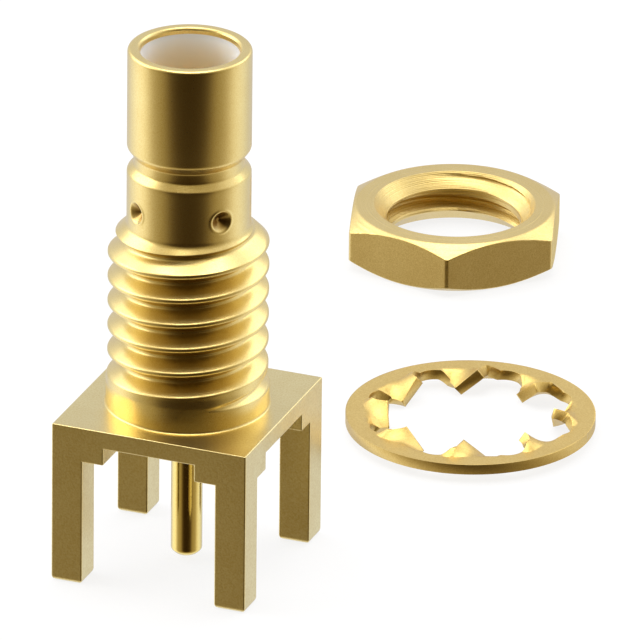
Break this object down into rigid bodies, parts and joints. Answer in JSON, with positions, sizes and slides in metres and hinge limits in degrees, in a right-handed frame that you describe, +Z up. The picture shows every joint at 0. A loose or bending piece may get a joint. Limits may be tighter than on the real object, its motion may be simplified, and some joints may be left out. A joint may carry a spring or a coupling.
{
  "type": "smb jack",
  "caption": "Straight push-fit coaxial jack in gold-plated brass: threaded neck, square board foot with corner legs and a tail pin, shown with its hex nut and toothed washer.",
  "frame": {"origin": "on the jack's axis, in the plane of the board that the foot's pads sit on", "axes": "+Z up the jack's axis towards its open mouth; X and Y square to the foot's sides; the nut and washer lie on the +Y side"},
  "size_m": [0.0126, 0.0305, 0.0165],
  "materials": {
    "satin_gold_plate": "turned brass under satin gold plate",
    "polished_gold_plate": "smooth turned brass under gold plate",
    "bright_gold_plate": "machined and stamped brass under gold plate",
    "white_fluoropolymer": "machined, waxy white"
  },
  "bodies": {
    "root": {"body": "satin_gold_plate", "insulator": "white_fluoropolymer", "centre_contact": "polished_gold_plate", "hex_nut": "bright_gold_plate", "lock_washer": "bright_gold_plate"}
  },
  "joints": []
}
